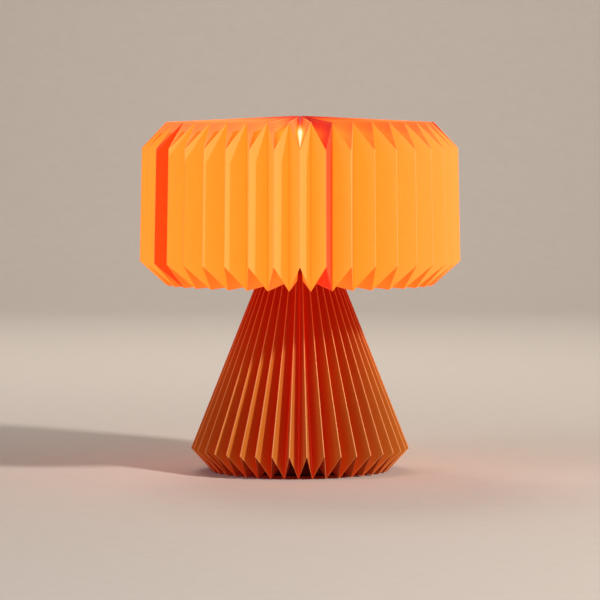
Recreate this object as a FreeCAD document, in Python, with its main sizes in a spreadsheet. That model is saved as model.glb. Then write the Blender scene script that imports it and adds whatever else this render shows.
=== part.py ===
import FreeCAD, Part
import Sketcher
import math
import os

# Pleated paper table lamp. Millimetres, +Z up, origin on the table under the middle of the base.
# Angles round the lamp are counted from the front, which is -Y, towards +X.

sizes = [
    ("pleats", 40, "pleats round the shade, and as many round the base"),
    ("sheets", 5, "folded sheets glued end to end round the shade, and round the base"),
    ("paper", 0.25, "thickness of the paper"),
    ("crease", 0.3, "half the width that a folded edge takes up"),
    ("glue_gap", 0.2, "glue and air between two layers of paper"),
    ("shade_flap_short", 1.2, "how far the shade's glue flaps stay back from the folds over them"),
    ("shade_edge_short", 1.4, "how far the outer layer of the shade's seams stops short of the valley"),
    ("base_flap_short", 1.6, "how far the base's glue flaps stay back from the folds over them"),
    ("base_edge_short", 1.9, "how far the outer layer of the base's seams stops short of the valley"),
    ("flap_share", 0.85, "share of a gathered panel that the glue flap runs along"),
    ("bend_share", 0.45, "share of a gathered panel at which its twist is folded in two"),
    ("seam_start", 9, "angle of the first seam of the shade"),
    ("shade_low_radius", 160.2, "ridge radius at the lower corner of the shade's wall"),
    ("shade_low_corner", 210.5, "height of the lower ridge corners"),
    ("shade_high_radius", 157.8, "ridge radius at the upper corner of the shade's wall"),
    ("shade_high_corner", 323.3, "height of the upper ridge corners"),
    ("shade_valley", 133.5, "valley radius of the shade's wall"),
    ("shade_low_tip", 186.6, "height of the lower tips, where the flap turns in"),
    ("shade_high_tip", 349, "height of the upper tips, where the top turns in"),
    ("hub_radius", 8, "radius to which the top is gathered"),
    ("hub_crest", 355, "height of the crests at the hub"),
    ("hub_trough", 326.5, "height of the troughs at the hub"),
    ("hem_radius", 42.5, "radius of the hem that rests on the base"),
    ("hem_height", 192, "height of the low folds at the hem"),
    ("hem_trough", 219, "height of the high folds at the hem"),
    ("base_turn", 3.55, "angle of the first ridge of the base"),
    ("base_radius", 109.2, "ridge radius at the foot of the base"),
    ("base_corner", 23, "height of the ridge corners at the foot"),
    ("base_tip", 88.2, "radius of the tips that stand on the table"),
    ("base_lean", 21.68, "lean of the base's ridges from upright, in degrees"),
    ("base_neck", 10, "valley radius at the gathered top of the base"),
    ("base_top_width", 25.6, "width across the gathered pleats at the top of the base"),
    ("base_hem", 62, "radius of the base's inner hem, round the foot weight"),
    ("base_rise", 19, "slope of the inner flap under the base, in degrees"),
    ("ring_radius", 45, "inner radius of the flat hoop on the shade's hem"),
    ("ring_width", 4, "width of the hoop"),
    ("ring_thick", 0.8, "thickness of the hoop"),
    ("disc_radius", 22, "radius of the card disc under the hub"),
    ("disc_hole", 4, "radius of the hole in that disc"),
    ("disc_board", 1.2, "thickness of the card disc"),
    ("seat_gap", 0.3, "space left between paper and what it rests on"),
    ("felt_radius", 56, "radius of the felt under the foot"),
    ("felt_hole", 14, "radius of the hole in the felt"),
    ("felt", 1.5, "thickness of the felt"),
    ("foot_radius", 58, "radius of the cast foot weight"),
    ("foot_rim", 12, "thickness of the foot weight at its rim"),
    ("foot_chamfer", 1.2, "chamfer of the foot's upper edge"),
    ("boss_radius", 15, "radius of the foot's raised middle"),
    ("boss_rise", 4, "height of that middle above the rim"),
    ("recess_radius", 11.5, "radius of the nut's recess under the foot"),
    ("recess_depth", 6, "depth of that recess"),
    ("stem_radius", 5, "outer radius of the threaded stem tube"),
    ("stem_bore", 3.6, "radius of the stem's bore, for the wires"),
    ("stem_play", 0.15, "clearance of the holes that the stem passes through"),
    ("stem_in_cap", 10, "length of stem that screws into the lampholder"),
    ("nut_flats", 14, "size across the flats of the stem's nuts"),
    ("nut_height", 3, "height of a nut"),
    ("washer_radius", 10, "radius of the washer on the foot"),
    ("washer", 1.2, "thickness of that washer"),
    ("cup_radius", 31, "radius of the dished washer that holds the base's top"),
    ("cup_sheet", 1, "thickness of the dished washer"),
    ("inlet_height", 6.5, "height of the cable's hole in the foot, above the table"),
    ("inlet_radius", 4.3, "radius of the cable's hole in the foot"),
    ("inlet_depth", 48, "how far that hole is drilled in from the rim"),
    ("spot_radius", 4.9, "radius of the flat round the cable's hole"),
    ("spot_depth", 0.8, "depth of that flat"),
    ("bush_bore", 3.1, "bore of the cable bush"),
    ("bush_flange", 4.7, "radius of the bush's flange"),
    ("bush_flange_thick", 1.5, "thickness of the bush's flange"),
    ("bush_length", 9, "length of the bush inside the foot"),
    ("bush_play", 0.05, "clearance of the bush in the foot"),
    ("holder_radius", 13.8, "outer radius of the lampholder"),
    ("holder_wall", 1.2, "wall of the lampholder's cap and skirt"),
    ("holder_neck", 8.5, "radius of the lampholder's neck"),
    ("holder_neck_height", 4, "height of that neck"),
    ("holder_roof", 10, "height of the floor inside the cap"),
    ("holder_split", 16, "height of the joint between cap and skirt"),
    ("holder_height", 42, "height of the whole lampholder"),
    ("core_radius", 12.2, "radius of the lampholder's ceramic core"),
    ("core_height", 5, "thickness of the core"),
    ("thread_bore", 7.25, "inner radius of the lampholder's threaded sleeve"),
    ("thread_wall", 0.4, "wall of that sleeve"),
    ("thread_length", 19, "length of the sleeve above the core"),
    ("spring_radius", 2.6, "radius of the middle contact"),
    ("spring_height", 1.6, "height of the middle contact above the core"),
    ("contact_gap", 0.2, "space between the two middle contacts"),
    ("tip_radius", 2.3, "radius of the bulb's solder tip"),
    ("tip_height", 1.5, "height of that tip"),
    ("insulator_height", 3.2, "height of the glass insulator of the bulb's cap"),
    ("insulator_seat", 0.6, "how far the insulator reaches into the screw cap"),
    ("insulator_radius", 5.2, "radius of the insulator"),
    ("cap_radius", 6.95, "radius of the bulb's screw cap"),
    ("cap_height", 18.3, "height of the screw cap's shell"),
    ("cap_wall", 0.35, "wall of the screw cap"),
    ("cap_flare", 8.4, "radius of the screw cap where it holds the glass"),
    ("glass_neck", 7.6, "radius of the glass at its neck"),
    ("glass_wall", 0.8, "wall of the glass"),
    ("glass_radius", 22.5, "radius of the bulb's globe"),
    ("glass_centre", 27, "height of the globe's middle above its neck"),
    ("glass_shoulder", 50, "angle below level at which the neck meets the globe"),
    ("globe_steps", 8, "flats along half the globe's section"),
    ("globe_sides", 36, "flats round the globe"),
    ("post_flange", 2, "thickness of the foot that closes the glass neck"),
    ("seal_gap", 0.12, "space between that foot and the glass round it"),
    ("mount_radius", 2.6, "radius of the glass post in the bulb"),
    ("mount_height", 20, "height of that post"),
    ("led", 1.6, "thickness of a filament"),
    ("led_length", 26, "length of a filament"),
    ("led_circle", 5.5, "radius of the circle on which the filaments stand"),
    ("leds", 4, "filaments in the bulb"),
    ("wire", 0.8, "thickness of the wires that carry the filaments"),
]

doc = FreeCAD.newDocument("PleatedLamp")
sheet = doc.addObject("Spreadsheet::Sheet", "Sizes")
for row, (alias, number, note) in enumerate(sizes, start=1):
    sheet.set(f"A{row}", note)
    sheet.set(f"B{row}", str(number))
    sheet.setAlias(f"B{row}", alias)
doc.recompute()


class Size:
    # A length that is known both as a number and as an expression on the sheet of sizes.
    def __init__(self, number, text):
        self.number = number
        self.text = text

    def joined(self, other, sign, number):
        return Size(number, f"({self.text} {sign} {as_size(other).text})")

    def __add__(self, other):
        return self.joined(other, "+", self.number + as_size(other).number)

    def __sub__(self, other):
        return self.joined(other, "-", self.number - as_size(other).number)

    def __mul__(self, other):
        return self.joined(other, "*", self.number * as_size(other).number)

    def __truediv__(self, other):
        return self.joined(other, "/", self.number / as_size(other).number)


def as_size(value):
    return value if isinstance(value, Size) else Size(float(value), repr(float(value)))


class Named:
    def __init__(self, names):
        for name, number, note in names:
            setattr(self, name, Size(float(number), f"Sizes.{name}"))


size = Named(sizes)
subparts = []


def keep(part, label):
    part.Label = label
    subparts.append(part)
    return part


def bind(part, **values):
    for name, value in values.items():
        part.setExpression(name, as_size(value).text)
    return part


def place(part, x=0, y=0, z=0):
    for axis, value in (("x", x), ("y", y), ("z", z)):
        if isinstance(value, Size) or value:
            part.setExpression(f"Placement.Base.{axis}", as_size(value).text)
    return part


# ---- turned pieces: a sketch of half the section, revolved round its upright axis ----

def pin_point(sketch, edge, end, corner):
    for kind, axis, value in (("DistanceX", -2, corner[0]), ("DistanceY", -1, corner[1])):
        if isinstance(value, Size):
            index = sketch.addConstraint(
                Sketcher.Constraint(kind, -1, 1, edge, end, value.number)
            )
            sketch.setExpression(f"Constraints[{index}]", value.text)
        else:
            sketch.addConstraint(Sketcher.Constraint("PointOnObject", edge, end, axis))


def draw(sketch, outline):
    spots = [FreeCAD.Vector(as_size(x).number, as_size(y).number, 0) for x, y in outline]
    edges = []
    for start, end in zip(spots, spots[1:] + spots[:1]):
        edges.append(sketch.addGeometry(Part.LineSegment(start, end), False))
    for edge, after, corner in zip(edges, edges[1:] + edges[:1], outline):
        sketch.addConstraint(Sketcher.Constraint("Coincident", edge, 2, after, 1))
        pin_point(sketch, edge, 1, corner)


def turned(label, outline, z=0):
    body = doc.addObject("PartDesign::Body", label)
    plane = [item for item in body.Origin.OriginFeatures if item.Role == "XZ_Plane"][0]
    sketch = body.newObject("Sketcher::SketchObject", f"{label}_section")
    sketch.AttachmentSupport = [(plane, "")]
    sketch.MapMode = "FlatFace"
    draw(sketch, outline)
    solid = body.newObject("PartDesign::Revolution", f"{label}_turned")
    solid.Profile = sketch
    solid.ReferenceAxis = (sketch, ["V_Axis"])
    solid.Angle = 360
    sketch.Visibility = False
    body.Label = label
    return place(body, z=z)


# ---- folded paper ----

def spot(radius, angle, height, aside=0):
    turn = math.radians(angle)
    out = FreeCAD.Vector(math.sin(turn), -math.cos(turn), 0)
    side = FreeCAD.Vector(math.cos(turn), math.sin(turn), 0)
    return out * radius + side * aside + FreeCAD.Vector(0, 0, height)


def step_off(normals, distance):
    # The move that takes a corner the given distance off every face that meets in it.
    rows = [[1e-4 if i == j else 0.0 for j in range(3)] for i in range(3)]
    aim = [0.0, 0.0, 0.0]
    for normal in normals:
        for i in range(3):
            aim[i] += normal[i] * distance
            for j in range(3):
                rows[i][j] += normal[i] * normal[j]
    matrix = FreeCAD.Matrix(*rows[0], 0, *rows[1], 0, *rows[2], 0, 0, 0, 0, 1)
    return matrix.inverse().multVec(FreeCAD.Vector(*aim))


def corner_normals(grid, present, row, column):
    normals = []
    for up in (0, -1):
        for right in (0, -1):
            if (row + up, column + right) not in present:
                continue
            along = grid[row][column + 1] - grid[row][column] if right == 0 else (
                grid[row][column] - grid[row][column - 1])
            rise = grid[row + 1][column] - grid[row][column] if up == 0 else (
                grid[row][column] - grid[row - 1][column])
            normals.append(along.cross(rise).normalize())
    return normals


def flat_faces(corners, turn=0, inside=False):
    # Two flat triangles over four corners. turn picks the diagonal, so that both skins of a panel
    # bend along the same line, and inside turns the triangles to face the other way.
    ring = corners[turn:] + corners[:turn]
    faces = []
    for trio in ((0, 1, 2), (0, 2, 3)):
        points = [ring[number] for number in (reversed(trio) if inside else trio)]
        faces.append(Part.Face(Part.makePolygon(points + points[:1])))
    return faces


def flat_solid(label, faces):
    part = doc.addObject("Part::Feature", label)
    part.Shape = Part.Solid(Part.Shell(faces))
    return part


def faceted(label, outline, sides, z=0):
    # A round piece with flat sides, for thin cones and globes.
    rings = []
    for radius, height in outline:
        radius = as_size(radius).number
        height = as_size(height).number
        rings.append([spot(radius, 360 * number / sides, height) for number in range(sides)])
    faces = []
    for low, high in zip(rings, rings[1:] + rings[:1]):
        for number in range(sides):
            points = []
            for point in (low[number - 1], low[number], high[number], high[number - 1]):
                if not any(point.isEqual(other, 1e-6) for other in points):
                    points.append(point)
            if len(points) > 2:
                faces.append(Part.Face(Part.makePolygon(points + points[:1])))
    return place(flat_solid(label, faces), z=z)


def folded_sheet(label, rows, first_angle, flap_end, flap_short, edge_short):
    # rows run from the inner hem, out and up the wall, to the gathered end. Each row gives the
    # radius and height of the ridge folds and of the valley folds. The sheet starts with a glue
    # flap tucked behind the neighbour's last panel, and ends with its own last panel over the
    # next sheet's flap.
    half_pitch = 180 / size.pleats.number
    folds = 2 * int(size.pleats.number / size.sheets.number)
    layer = size.paper.number + size.glue_gap.number
    columns = [(0, 1), (1, -1)]
    for fold in range(1, folds + 1):
        columns += [(fold, -1), (fold, 1)]
    columns.append((folds + 1, -1))
    grid = []
    for ridge_radius, ridge_height, valley_radius, valley_height in rows:
        line = []
        for fold, side in columns:
            on_ridge = fold % 2 == 0
            radius = ridge_radius if on_ridge else valley_radius
            height = ridge_height if on_ridge else valley_height
            aside = side * size.crease.number
            line.append(spot(radius, first_angle + fold * half_pitch, height, aside))
        grid.append(line)
    last_row = len(rows) - 1
    last_column = len(columns) - 1
    present = {
        (row, column) for row in range(last_row) for column in range(last_column)
        if column > 1 or row < flap_end
    }
    tucked = {}
    for row in range(flap_end + 1):
        for column in (0, 1):
            along = grid[row][1] - grid[row][0]
            normals = []
            for up in (0, -1):
                if (row + up, 0) in present:
                    rise = grid[row + up + 1][column] - grid[row + up][column]
                    normals.append(along.cross(rise).normalize())
            tucked[row, column] = step_off(normals, -layer)
    for row in range(last_row + 1):
        inward = grid[row][1] - grid[row][0]
        grid[row][0] = grid[row][0] + inward * (flap_short.number / inward.Length)
        back = grid[row][last_column - 1] - grid[row][last_column]
        grid[row][last_column] = grid[row][last_column] + back * (edge_short.number / back.Length)
    for (row, column), move in tucked.items():
        grid[row][column] = grid[row][column] + move
    skins = ([], [])
    for row in range(last_row + 1):
        for skin in skins:
            skin.append([])
        for column in range(last_column + 1):
            normals = corner_normals(grid, present, row, column)
            move = step_off(normals, size.paper.number / 2) if normals else FreeCAD.Vector()
            skins[0][row].append(grid[row][column] + move)
            skins[1][row].append(grid[row][column] - move)
    outer, inner = skins
    faces = []
    for row, column in sorted(present):
        ring = [(row, column), (row, column + 1), (row + 1, column + 1), (row + 1, column)]
        turn = columns[column][0] % 2
        faces += flat_faces([outer[i][j] for i, j in ring], turn)
        faces += flat_faces([inner[i][j] for i, j in ring], turn, inside=True)
        beside = [(row - 1, column), (row, column + 1), (row + 1, column), (row, column - 1)]
        for number, neighbour in enumerate(beside):
            if neighbour in present:
                continue
            i, j = ring[number]
            m, n = ring[(number + 1) % 4]
            faces += flat_faces([inner[i][j], inner[m][n], outer[m][n], outer[i][j]])
    return keep(flat_solid(label, faces), label)


def between(low, high, share):
    return tuple(a + (b - a) * share for a, b in zip(low, high))


def shade_rows():
    hem = (size.hem_radius, size.hem_trough, size.hem_radius, size.hem_height)
    low = (size.shade_low_radius, size.shade_low_corner, size.shade_valley, size.shade_low_tip)
    high = (size.shade_high_radius, size.shade_high_corner, size.shade_valley, size.shade_high_tip)
    hub = (size.hub_radius, size.hub_trough, size.hub_radius, size.hub_crest)
    hem, low, high, hub = [tuple(value.number for value in row) for row in (hem, low, high, hub)]
    bend = size.bend_share.number
    flap = size.flap_share.number
    return [hem, between(low, hem, bend), low, high, between(high, hub, bend),
            between(high, hub, flap), hub]


def base_rows():
    rise = math.tan(math.radians(size.base_rise.number))
    inner = size.base_hem
    stand = size.paper
    hem_high = size.base_corner + (size.base_radius - inner) * rise
    hem_low = stand + (size.base_tip - inner) * rise
    high_radius, high, low = base_top()
    hem = (inner, hem_high, inner, hem_low)
    foot = (size.base_radius, size.base_corner, size.base_tip, stand)
    neck = (high_radius, high, size.base_neck, low)
    hem, foot, neck = [tuple(value.number for value in row) for row in (hem, foot, neck)]
    return [hem, foot, between(foot, neck, size.bend_share.number),
            between(foot, neck, size.flap_share.number), neck]


def base_top():
    # The gathered top edge of the base: the ridges' radius and height there, and the valleys'
    # height.
    lean = math.tan(math.radians(size.base_lean.number))
    high_radius = size.base_neck + size.base_top_width
    high = size.base_corner + (size.base_radius - high_radius) / lean
    low = (size.base_tip - size.base_neck) / lean
    return high_radius, high, low


def pleated_paper():
    pitch = 360 / size.pleats.number
    share = 360 / size.sheets.number
    for number in range(int(size.sheets.number)):
        angle = size.seam_start.number + number * share
        folded_sheet(f"shade_sheet_{number + 1}", shade_rows(), angle, 5,
                     size.shade_flap_short, size.shade_edge_short)
    for number in range(int(size.sheets.number)):
        angle = size.base_turn.number + pitch + number * share
        folded_sheet(f"base_sheet_{number + 1}", base_rows(), angle, 3,
                     size.base_flap_short, size.base_edge_short)


# ---- what stiffens the shade's hub and hem ----

def shade_fittings():
    run = (size.shade_high_radius - size.disc_radius) / (size.shade_high_radius - size.hub_radius)
    trough = size.shade_high_corner + (size.hub_trough - size.shade_high_corner) * run
    top = trough - size.paper - size.glue_gap
    sides = int(size.pleats.number)
    disc = faceted("shade_hub_disc", [
        (size.disc_hole, 0), (size.disc_radius, 0),
        (size.disc_radius, size.disc_board), (size.disc_hole, size.disc_board),
    ], sides, z=top - size.disc_board)
    keep(disc, "shade_hub_disc")
    run = (size.shade_low_radius - size.ring_radius) / (size.shade_low_radius - size.hem_radius)
    crest = size.shade_low_corner + (size.hem_trough - size.shade_low_corner) * run
    outer = size.ring_radius + size.ring_width
    ring = faceted("shade_hem_ring", [
        (size.ring_radius, 0), (outer, 0), (outer, size.ring_thick),
        (size.ring_radius, size.ring_thick),
    ], sides, z=crest + size.paper + size.glue_gap)
    keep(ring, "shade_hem_ring")


# ---- foot, stem and neck ----

def foot():
    pad = turned("foot_felt", [
        (size.felt_hole, 0), (size.felt_radius, 0),
        (size.felt_radius, size.felt), (size.felt_hole, size.felt),
    ])
    keep(pad, "foot_felt")
    bore = size.stem_radius + size.stem_play
    rim = size.foot_radius
    edge = size.foot_chamfer
    top = size.foot_rim + size.boss_rise
    disc = turned("foot_casting", [
        (size.recess_radius, 0), (rim, 0), (rim, size.foot_rim - edge),
        (rim - edge, size.foot_rim), (size.boss_radius, size.foot_rim),
        (size.boss_radius, top), (bore, top), (bore, size.recess_depth),
        (size.recess_radius, size.recess_depth),
    ], z=size.felt)
    hole = drill("foot_cable_hole", size.inlet_radius, size.inlet_depth + size.foot_radius,
                 size.foot_radius - size.inlet_depth)
    flat = drill("foot_cable_flat", size.spot_radius, size.foot_radius,
                 size.foot_radius - size.spot_depth)
    drills = doc.addObject("Part::Fuse", "foot_cable_drills")
    drills.Base = hole
    drills.Tool = flat
    weight = doc.addObject("Part::Cut", "foot_weight")
    weight.Base = disc
    weight.Tool = drills
    keep(weight, "foot_weight")


def inlet_angle():
    # The cable leaves at the back, under the fold that is nearest to straight behind.
    pitch = 360 / size.pleats.number
    folds = round((180 - size.base_turn.number) / pitch)
    return size.base_turn.number + folds * pitch


def point_out(part, distance, height):
    # Turns a piece that is modelled upright so that it points out of the foot, at the inlet.
    angle = inlet_angle()
    out = spot(1, angle, 0)
    part.Placement = FreeCAD.Placement(
        out * distance.number + FreeCAD.Vector(0, 0, height.number),
        FreeCAD.Rotation(FreeCAD.Vector(0, 0, 1), out),
    )
    return part


def drill(label, radius, length, start):
    tool = doc.addObject("Part::Cylinder", label)
    bind(tool, Radius=radius, Height=length)
    return point_out(tool, start, size.inlet_height)


def cable_bush():
    bush = turned("cable_bush", [
        (size.bush_bore, 0), (size.inlet_radius - size.bush_play, 0),
        (size.inlet_radius - size.bush_play, size.bush_length),
        (size.bush_flange, size.bush_length),
        (size.bush_flange, size.bush_length + size.bush_flange_thick),
        (size.bush_bore, size.bush_length + size.bush_flange_thick),
    ])
    start = size.foot_radius - size.spot_depth - size.bush_length
    point_out(bush, start, size.inlet_height)
    keep(bush, "cable_bush")


def stem_and_nuts():
    foot_top = size.felt + size.foot_rim + size.boss_rise
    recess_top = size.felt + size.recess_depth
    stem_foot = recess_top - size.nut_height - size.stem_play
    stem_top = holder_foot() + size.stem_in_cap
    stem = turned("stem_tube", [
        (size.stem_bore, 0), (size.stem_radius, 0),
        (size.stem_radius, stem_top - stem_foot), (size.stem_bore, stem_top - stem_foot),
    ], z=stem_foot)
    keep(stem, "stem_tube")
    washer = turned("foot_washer", [
        (size.stem_radius + size.stem_play, 0), (size.washer_radius, 0),
        (size.washer_radius, size.washer), (size.stem_radius + size.stem_play, size.washer),
    ], z=foot_top)
    keep(washer, "foot_washer")
    seats = [recess_top - size.nut_height, foot_top + size.washer,
             cup_seat() - size.nut_height, cup_seat() + size.cup_sheet]
    nuts = []
    for number, seat in enumerate(seats, start=1):
        block = doc.addObject("Part::Prism", f"nut_block_{number}")
        block.Polygon = 6
        bind(block, Circumradius=size.nut_flats / math.sqrt(3), Height=size.nut_height)
        bore = doc.addObject("Part::Cylinder", f"nut_bore_{number}")
        bind(bore, Radius=size.stem_radius, Height=size.nut_height)
        nut = doc.addObject("Part::Cut", f"nut_{number}")
        nut.Base = block
        nut.Tool = bore
        place(nut, z=seat)
        nuts.append(nut)
    group = doc.addObject("Part::Compound", "stem_nuts")
    group.Links = nuts
    keep(group, "stem_nuts")


def cup_seat():
    # Height of the flat middle of the dished washer, which lies on the base's gathered top.
    high_radius, high, low = base_top()
    return low + size.seat_gap


def neck_cup():
    bore = size.stem_radius + size.stem_play
    flat = size.base_neck
    high_radius, high, low = base_top()
    rise = (size.cup_radius - flat) * (high - low) / size.base_top_width
    cup = faceted("neck_cup", [
        (bore, 0), (flat, 0), (size.cup_radius, rise),
        (size.cup_radius, rise + size.cup_sheet), (flat, size.cup_sheet), (bore, size.cup_sheet),
    ], int(size.pleats.number), z=cup_seat())
    keep(cup, "neck_cup")


# ---- lampholder ----

def holder_foot():
    return cup_seat() + size.cup_sheet + size.nut_height


def lampholder():
    wall = size.holder_wall
    radius = size.holder_radius
    cap = turned("holder_cap", [
        (size.stem_radius, 0), (size.holder_neck, 0), (size.holder_neck, size.holder_neck_height),
        (radius, size.holder_neck_height), (radius, size.holder_split),
        (radius - wall, size.holder_split), (radius - wall, size.holder_roof),
        (size.stem_radius, size.holder_roof),
    ], z=holder_foot())
    keep(cap, "holder_cap")
    lip = size.holder_height - size.holder_split
    skirt = turned("holder_skirt", [
        (radius - wall, 0), (radius, 0), (radius, lip), (radius - wall, lip),
    ], z=holder_foot() + size.holder_split)
    keep(skirt, "holder_skirt")
    core = turned("holder_core", [
        (0, 0), (size.core_radius, 0), (size.core_radius, size.core_height),
        (0, size.core_height),
    ], z=core_top() - size.core_height)
    keep(core, "holder_core")
    outer = size.thread_bore + size.thread_wall
    sleeve = turned("holder_thread_sleeve", [
        (size.thread_bore, 0), (outer, 0), (outer, size.thread_length),
        (size.thread_bore, size.thread_length),
    ], z=core_top())
    keep(sleeve, "holder_thread_sleeve")
    contact = turned("holder_contact", [
        (0, 0), (size.spring_radius, 0), (size.spring_radius, size.spring_height),
        (0, size.spring_height),
    ], z=core_top())
    keep(contact, "holder_contact")


def core_top():
    return holder_foot() + size.holder_split + size.core_height / 2


# ---- bulb ----

def globe(radius, steps):
    # Corners of half the globe's section, from where the neck meets it up to its top.
    corners = []
    start = -math.radians(size.glass_shoulder.number)
    for step in range(steps + 1):
        angle = start + (math.pi / 2 - start) * step / steps
        out = radius * math.cos(angle) if step < steps else 0
        corners.append((out, size.glass_centre + radius * math.sin(angle)))
    return corners


def bulb_foot():
    return core_top() + size.spring_height + size.contact_gap


def bulb():
    foot = bulb_foot()
    tip = turned("bulb_contact", [
        (0, 0), (size.tip_radius, 0), (size.tip_radius, size.tip_height), (0, size.tip_height),
    ], z=foot)
    keep(tip, "bulb_contact")
    seat = size.insulator_height + size.insulator_seat
    bore = size.cap_radius - size.cap_wall
    glass_ring = turned("bulb_insulator", [
        (0, 0), (size.insulator_radius, 0), (size.insulator_radius, size.insulator_height),
        (bore, size.insulator_height), (bore, seat), (0, seat),
    ], z=foot + size.tip_height)
    keep(glass_ring, "bulb_insulator")
    cap_foot = foot + size.tip_height + size.insulator_height
    flare = size.cap_flare - size.cap_radius
    shell = turned("bulb_cap", [
        (bore, 0), (size.cap_radius, 0), (size.cap_radius, size.cap_height - flare * 2),
        (size.cap_flare, size.cap_height - flare * 2), (size.cap_flare, size.cap_height),
        (size.cap_flare - size.cap_wall, size.cap_height),
        (size.cap_flare - size.cap_wall, size.cap_height - flare), (bore, size.cap_height - flare),
    ], z=cap_foot)
    keep(shell, "bulb_cap")
    glass_foot = cap_foot + size.cap_height - flare
    wall = size.glass_wall
    outside = [(size.glass_neck, 0), (size.glass_neck, flare)]
    outside += globe(size.glass_radius, int(size.globe_steps.number))
    inside = [(size.glass_neck - wall, 0), (size.glass_neck - wall, flare)]
    inside += globe(size.glass_radius - wall, int(size.globe_steps.number))
    envelope = faceted("bulb_glass", outside + inside[::-1], int(size.globe_sides.number),
                       z=glass_foot)
    keep(envelope, "bulb_glass")
    seal = size.glass_neck - wall - size.seal_gap
    post = turned("bulb_post", [
        (0, 0), (seal, 0), (seal, size.post_flange),
        (size.mount_radius, size.post_flange), (size.mount_radius, size.mount_height),
        (0, size.mount_height),
    ], z=glass_foot)
    keep(post, "bulb_post")
    filaments(glass_foot + size.mount_height)


def filaments(foot):
    links = []
    for number in range(int(size.leds.number)):
        angle = math.radians(45 + number * 360 / size.leds.number)
        x = size.led_circle * math.cos(angle)
        y = size.led_circle * math.sin(angle)
        stick = doc.addObject("Part::Box", f"filament_{number + 1}")
        bind(stick, Length=size.led, Width=size.led, Height=size.led_length)
        place(stick, x=x - size.led / 2, y=y - size.led / 2, z=foot - size.led_length / 2)
        links.append(stick)
    group = doc.addObject("Part::Compound", "bulb_filaments")
    group.Links = links
    keep(group, "bulb_filaments")
    bars = [rod("bulb_support_rod", size.led_length / 2, 0, foot)]
    for number in range(2):
        turn = 45 + 90 * number
        bars.append(rod(f"bulb_support_bar_{number + 1}", size.led_circle * 2 + size.led,
                        turn, foot + size.led_length / 2))
    frame = doc.addObject("Part::MultiFuse", "bulb_support")
    frame.Shapes = bars
    keep(frame, "bulb_support")


def rod(label, length, turn, height):
    # A square rod: upright where turn is 0, or lying across the bulb's axis at that angle.
    bar = doc.addObject("Part::Box", label)
    if turn:
        bind(bar, Length=length, Width=size.wire, Height=size.wire)
        corner = FreeCAD.Vector(-length.number / 2, -size.wire.number / 2, 0)
        bar.Placement = FreeCAD.Placement(
            FreeCAD.Vector(0, 0, height.number),
            FreeCAD.Rotation(FreeCAD.Vector(0, 0, 1), turn)) * FreeCAD.Placement(
                corner, FreeCAD.Rotation())
        return bar
    bind(bar, Length=size.wire, Width=size.wire, Height=length + size.wire)
    return place(bar, x=size.wire * -0.5, y=size.wire * -0.5, z=height)


pleated_paper()
shade_fittings()
foot()
cable_bush()
stem_and_nuts()
neck_cup()
lampholder()
bulb()
doc.recompute()

for item in doc.Objects:
    if "Invalid" in item.State or "Error" in item.State:
        raise RuntimeError(f"{item.Label} did not build: {item.State}")
for part in subparts:
    if part.Shape.isNull() or not part.Shape.isValid():
        raise RuntimeError(f"{part.Label} has no valid shape")

os.makedirs("parts", exist_ok=True)
for part in subparts:
    part.Shape.exportStep(f"parts/{part.Label}.step")
    box = part.Shape.BoundBox
    print(f"{part.Label}: {len(part.Shape.Solids)} solid(s), {part.Shape.Volume:.1f} mm3, "
          f"z {box.ZMin:.2f} to {box.ZMax:.2f}")
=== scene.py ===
import math
import random

import bmesh
import bpy
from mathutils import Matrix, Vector


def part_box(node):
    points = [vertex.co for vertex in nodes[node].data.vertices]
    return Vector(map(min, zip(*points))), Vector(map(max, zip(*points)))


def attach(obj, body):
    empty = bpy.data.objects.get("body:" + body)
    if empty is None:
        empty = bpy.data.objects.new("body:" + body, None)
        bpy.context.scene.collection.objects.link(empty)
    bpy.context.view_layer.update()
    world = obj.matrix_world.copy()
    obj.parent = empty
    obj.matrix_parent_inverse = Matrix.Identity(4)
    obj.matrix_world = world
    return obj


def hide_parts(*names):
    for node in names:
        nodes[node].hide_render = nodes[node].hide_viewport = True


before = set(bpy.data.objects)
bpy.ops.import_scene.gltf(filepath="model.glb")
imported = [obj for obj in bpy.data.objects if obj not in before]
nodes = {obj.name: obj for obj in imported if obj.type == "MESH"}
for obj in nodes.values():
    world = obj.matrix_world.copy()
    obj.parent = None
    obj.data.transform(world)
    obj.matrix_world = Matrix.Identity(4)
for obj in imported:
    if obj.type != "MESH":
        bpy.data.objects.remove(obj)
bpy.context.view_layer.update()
millimetre = 0.001
print("frame loaded")

# The camera stands level with the top of the shade, far enough away for its long lens.
cameraView = {"place": (0.0, -3.5, 0.360), "aim": (0.0, 0.0, 0.171), "lens": 210, "sensor": 36, "reach": 60}

cameraData = bpy.data.cameras.new("camera")
cameraData.lens = cameraView["lens"]
cameraData.sensor_width = cameraView["sensor"]
cameraData.clip_end = cameraView["reach"]
camera = bpy.data.objects.new("camera", cameraData)
camera.location = cameraView["place"]
sight = Vector(cameraView["aim"]) - Vector(cameraView["place"])
camera.rotation_euler = sight.to_track_quat("-Z", "Y").to_euler()
bpy.context.scene.collection.objects.link(camera)
bpy.context.scene.camera = camera


def colour(code):
    # An sRGB hex code as linear red, green, blue and alpha.
    parts = [int(code[place:place + 2], 16) / 255 for place in (1, 3, 5)]
    linear = [part / 12.92 if part <= 0.04045 else ((part + 0.055) / 1.055) ** 2.4 for part in parts]
    return (*linear, 1.0)


def addNode(tree, kind, links=None, values=None, **settings):
    # links and values go by an input's name or number.
    node = tree.nodes.new(kind)
    for name, value in settings.items():
        setattr(node, name, value)
    for name, value in (values or {}).items():
        node.inputs[name].default_value = value
    for name, source in (links or {}).items():
        tree.links.new(source, node.inputs[name])
    return node


def newMaterial(name):
    material = bpy.data.materials.new(name)
    material.use_nodes = True
    material.node_tree.nodes.clear()
    return material, material.node_tree


bumpStrength = 0.6  # of every grain, whose depth is given with its material


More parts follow.
